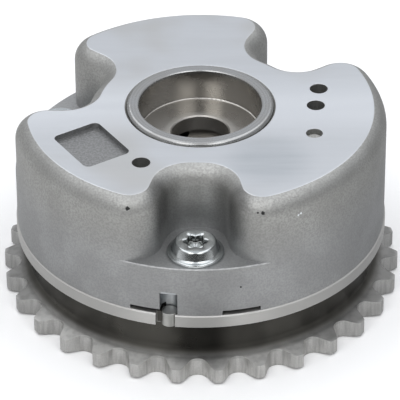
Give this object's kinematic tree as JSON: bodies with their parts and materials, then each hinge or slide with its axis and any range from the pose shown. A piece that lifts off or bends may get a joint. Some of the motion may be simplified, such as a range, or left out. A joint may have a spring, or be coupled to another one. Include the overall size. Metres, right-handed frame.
{
  "type": "cam phaser",
  "caption": "Hydraulic cam phaser: toothed chain wheel with a waisted neck, lobed cast housing with bolts in its valleys, and a vane rotor with a lock pin inside.",
  "frame": {"origin": "on the camshaft axis, in the plane of the chain wheel's rear face, which is the bottom of the part", "axes": "+Z along the camshaft axis towards the front of the engine, -Y towards the valley with the locating pin beside it, +X to the right of it"},
  "size_m": [0.094, 0.0938, 0.0465],
  "materials": {
    "cast_aluminium": "cast, with a ground front face",
    "sintered_steel": "sintered, turned flange and neck",
    "machined_steel": "machined",
    "hardened_steel": "ground",
    "zinc_plated_steel": "bright zinc plated",
    "spring_steel": "drawn wire and strip",
    "seal_polymer": "moulded"
  },
  "bodies": {
    "housing_assembly": {"sprocket": "sintered_steel", "housing": "cast_aluminium", "locating_pin": "hardened_steel", "lock_bush": "hardened_steel", "housing_bolt_front": "zinc_plated_steel", "housing_bolt_right": "zinc_plated_steel", "housing_bolt_left": "zinc_plated_steel", "shoe_seal_front": "seal_polymer", "shoe_seal_right": "seal_polymer", "shoe_seal_left": "seal_polymer", "shoe_seal_spring_front": "spring_steel", "shoe_seal_spring_right": "spring_steel", "shoe_seal_spring_left": "spring_steel"},
    "rotor_assembly": {"rotor": "machined_steel", "lock_spring_seat": "machined_steel", "lock_spring": "spring_steel", "tip_seal_right": "seal_polymer", "tip_seal_back": "seal_polymer", "tip_seal_left": "seal_polymer", "tip_seal_spring_right": "spring_steel", "tip_seal_spring_back": "spring_steel", "tip_seal_spring_left": "spring_steel"},
    "lock_pin_body": {"lock_pin": "hardened_steel"}
  },
  "joints": [
    {"name": "rotor_phase", "type": "hinge", "parent": "housing_assembly", "child": "rotor_assembly", "pos_m": [0, 0, 0.0275], "axis": [0, 0, 1], "range_deg": [-15, 15]},
    {"name": "lock_pin_slide", "type": "slide", "parent": "rotor_assembly", "child": "lock_pin_body", "axis": [0, 0, 1], "range_m": [0, 0.0012], "stiffness_N_per_m": 500, "springref_m": -0.01, "deforming": ["lock_spring"]}
  ]
}
